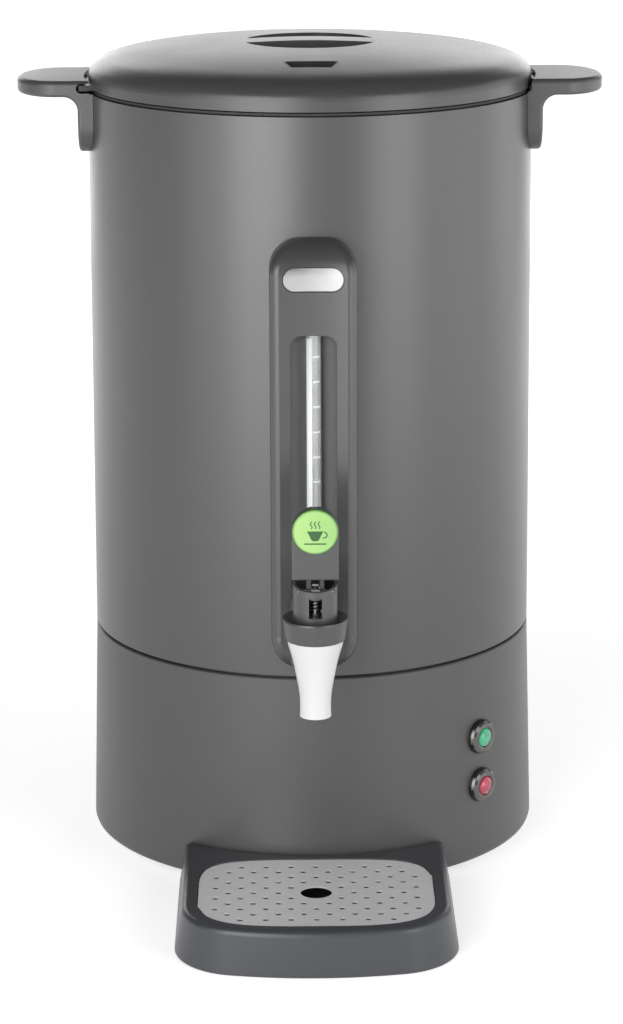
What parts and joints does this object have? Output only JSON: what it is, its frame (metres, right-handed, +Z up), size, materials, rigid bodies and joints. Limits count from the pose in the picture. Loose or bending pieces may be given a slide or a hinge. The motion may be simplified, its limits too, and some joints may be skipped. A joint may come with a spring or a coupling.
{
  "type": "coffee urn",
  "caption": "Tall cylindrical coffee urn with side handles, domed twist lid, front sight tube, lever tap with tapered spout, indicator lamps and a drip tray.",
  "frame": {"origin": "on the floor plane, under the middle of the overall box; the body's axis is 62.1 mm behind it", "axes": "+Z up along the body's axis, -Y towards the tap and drip tray (front), +X towards the right handle seen from the front"},
  "size_m": [0.3556, 0.4041, 0.501],
  "materials": {
    "shell_paint": "dark grey satin paint",
    "case_plastic": "dark grey moulded plastic, satin",
    "column_plastic": "dark grey moulded plastic, satin",
    "tray_plastic": "dark moulded plastic, satin",
    "tank_steel": "stainless, brushed",
    "plain_steel": "stainless, plain",
    "grid_steel": "stainless, satin",
    "badge_silver": "bright silver, bare",
    "lamp_chrome": "dark chrome",
    "lens_green": "clear green lens",
    "lens_red": "clear red lens",
    "button_green": "light green button",
    "nozzle_white": "off-white moulded plastic",
    "tube_glass": "clear glass tube",
    "silicone": "pale silicone",
    "dark_rubber": "black rubber",
    "black_plastic": "black moulded plastic",
    "aluminium": "cast plate",
    "brass": "turned",
    "lead_sleeve": "silicone lead sleeve",
    "ceramic_white": "glazed insulator"
  },
  "bodies": {
    "urn": {"outer_shell": "shell_paint", "inner_tank": "tank_steel", "base_housing": "case_plastic", "bottom_cover": "plain_steel", "cover_screws": "plain_steel", "rubber_feet": "dark_rubber", "tank_studs": "plain_steel", "stud_spacers": "plain_steel", "stud_nuts": "plain_steel", "heat_spreader": "aluminium", "heating_element": "plain_steel", "element_pins": "plain_steel", "thermostat": "black_plastic", "thermal_cutout": "ceramic_white", "terminal_block": "ceramic_white", "power_inlet": "black_plastic", "inlet_pins": "brass", "switch_housing": "black_plastic", "lamp_bezels": "lamp_chrome", "lamp_cores": "ceramic_white", "lamp_lens_green": "lens_green", "lamp_lens_red": "lens_red", "lamp_nuts": "brass", "handle_left": "case_plastic", "handle_right": "case_plastic", "handle_pads": "dark_rubber", "handle_screws": "plain_steel", "front_column": "column_plastic", "badge_plate": "badge_silver", "column_screws": "plain_steel", "sight_fitting": "black_plastic", "sight_tube": "tube_glass", "sight_seals": "silicone", "tap_body": "column_plastic", "shank_washer": "silicone", "shank_nut": "plain_steel", "shank_spacer": "aluminium", "outer_washer": "silicone", "tap_nozzle": "nozzle_white", "tap_bonnet": "column_plastic", "lever_pin": "plain_steel", "wiring": "lead_sleeve", "tap_spring": "plain_steel"},
    "lid_ring": {"lid_seal": "dark_rubber"},
    "lid": {"lid_shell": "case_plastic", "vent_cup": "black_plastic", "lid_liner": "tank_steel", "lid_screws": "plain_steel"},
    "rocker": {"power_rocker": "black_plastic"},
    "lever": {"tap_lever": "column_plastic", "lever_button": "button_green"},
    "stem": {"valve_stem": "plain_steel", "stem_pin": "plain_steel", "seat_cup": "silicone"},
    "pump": {"pump_stem": "tank_steel"},
    "basket": {"filter_basket": "tank_steel"},
    "spreader": {"basket_spreader": "tank_steel"},
    "tray": {"drip_tray": "tray_plastic"},
    "grid": {"drip_grid": "grid_steel"}
  },
  "joints": [
    {"name": "lid_lift", "type": "slide", "parent": "urn", "child": "lid_ring", "axis": [0, 0, 1], "range_m": [0, 0.3]},
    {"name": "lid_twist", "type": "hinge", "parent": "lid_ring", "child": "lid", "pos_m": [0, 0.06207, 0.4753], "axis": [0, 0, 1], "range_deg": [0, 20]},
    {"name": "switch_rock", "type": "hinge", "parent": "urn", "child": "rocker", "pos_m": [0.025, 0.19235, 0.06], "axis": [1, 0, 0], "range_deg": [-8, 8]},
    {"name": "tap_pull", "type": "hinge", "parent": "urn", "child": "lever", "pos_m": [0, -0.14542, 0.2126], "axis": [1, 0, 0], "range_deg": [0, 28], "stiffness_Nm_per_rad": 0.6, "springref_deg": -8.59},
    {"name": "valve_lift", "type": "slide", "parent": "urn", "child": "stem", "axis": [0, 0, 1], "range_m": [0, 0.0035], "deforming": ["tap_spring"]},
    {"name": "pump_lift", "type": "slide", "parent": "urn", "child": "pump", "axis": [0, 0, 1], "range_m": [0, 0.025]},
    {"name": "basket_lift", "type": "slide", "parent": "pump", "child": "basket", "axis": [0, 0, 1], "range_m": [0, 0.02]},
    {"name": "spreader_lift", "type": "slide", "parent": "basket", "child": "spreader", "axis": [0, 0, 1], "range_m": [0, 0.02]},
    {"name": "tray_slide", "type": "slide", "parent": "urn", "child": "tray", "axis": [0, -1, 0], "range_m": [0, 0.15]},
    {"name": "grid_lift", "type": "slide", "parent": "tray", "child": "grid", "axis": [0, 0, 1], "range_m": [0, 0.05]}
  ],
  "couplings": [
    {"joint": "valve_lift", "follows": "tap_pull", "m_per_rad": 0.007}
  ]
}
